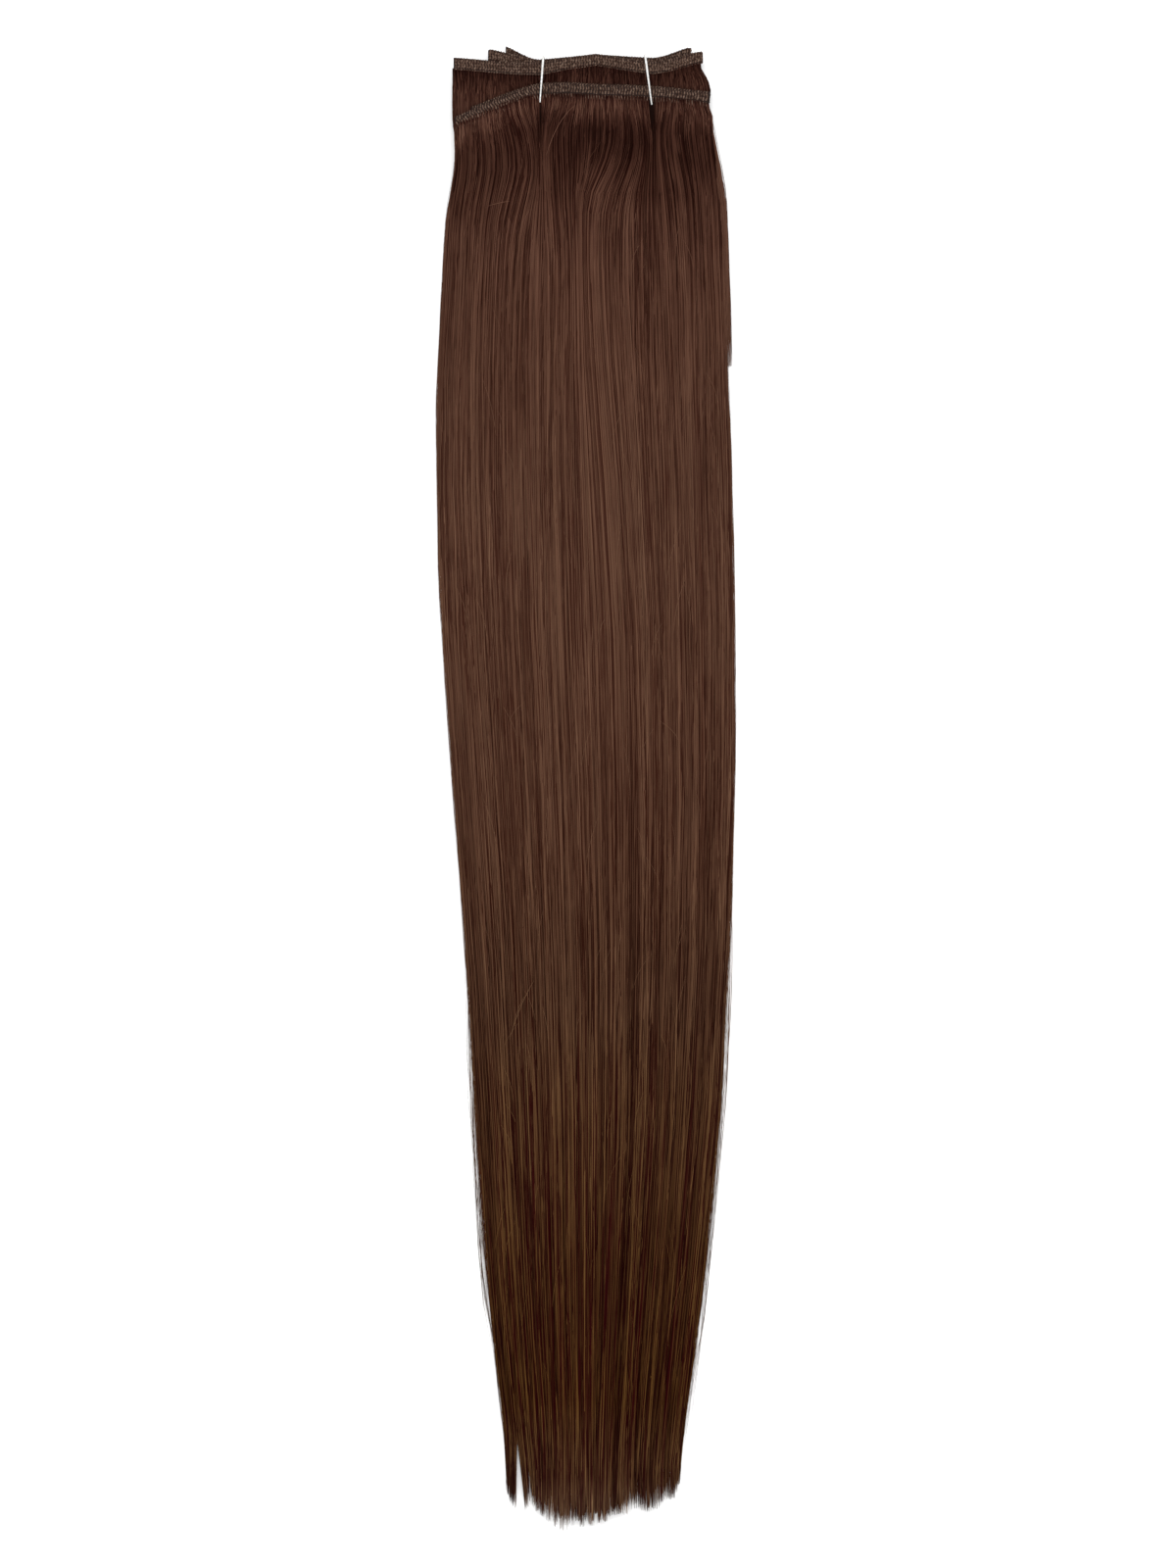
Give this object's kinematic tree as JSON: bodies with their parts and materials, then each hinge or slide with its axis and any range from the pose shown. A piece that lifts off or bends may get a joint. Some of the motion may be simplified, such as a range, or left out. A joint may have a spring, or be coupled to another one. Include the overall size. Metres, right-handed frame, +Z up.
{
  "type": "machine weft hair extension",
  "caption": "Bundle of long straight brown hair sewn into a narrow folded weft track and held together by two thin elastic ties.",
  "frame": {"origin": "on the surface that the hair lies on, under the middle of the hair, halfway from the stack's track to the longest tips", "axes": "+Z up from the surface, +Y along the hair towards the sewn track, +X to the right across the track"},
  "size_m": [0.1129, 0.5657, 0.0127],
  "materials": {
    "hair": "satin",
    "track": "matte",
    "elastic": "matte"
  },
  "bodies": {
    "root": {"stack_track": "track", "front_track": "track", "stack_hair_1": "hair", "stack_hair_2": "hair", "stack_hair_3": "hair", "stack_hair_4": "hair", "stack_hair_5": "hair", "stack_hair_6": "hair", "front_hair_1": "hair", "front_hair_2": "hair", "left_tie": "elastic", "right_tie": "elastic"}
  },
  "joints": []
}
